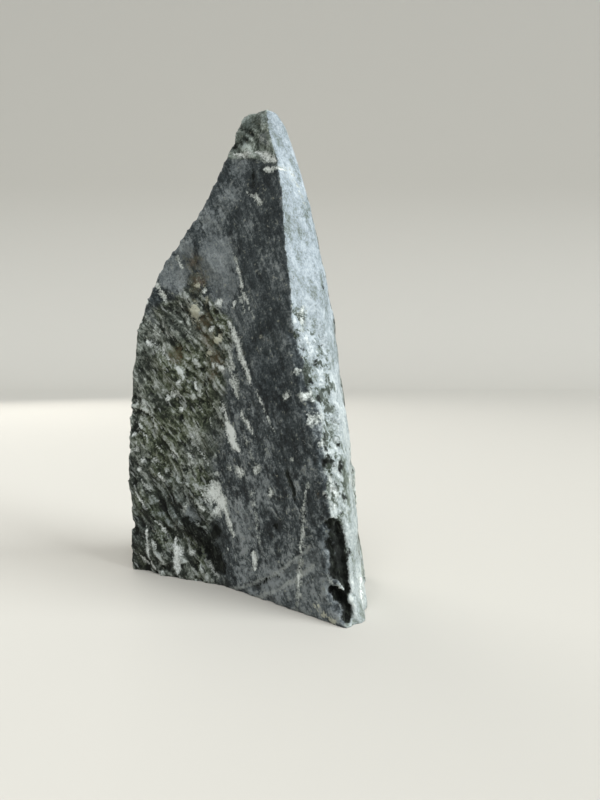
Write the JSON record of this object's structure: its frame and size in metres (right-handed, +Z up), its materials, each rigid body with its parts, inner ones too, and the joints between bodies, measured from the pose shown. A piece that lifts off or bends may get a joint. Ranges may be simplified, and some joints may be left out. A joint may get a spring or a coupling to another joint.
{
  "type": "raw soapstone",
  "caption": "Raw block of grey-green soapstone on a flat sawn base, with one smooth sawn face, rough foliated sides and a blunt tapering tip.",
  "frame": {"origin": "middle of the bounding box's floor, on the plane of the sawn base", "axes": "+Z up, from the base to the tip; +X along the front, from the rough foliated side to the smooth sawn side; +Y from the front to the back"},
  "size_m": [0.123, 0.058, 0.2015],
  "materials": {
    "soapstone": "dull, waxy grey-green schist with pale talc veins, partly sawn and partly broken"
  },
  "bodies": {
    "root": {"soapstone": "soapstone"}
  },
  "joints": []
}
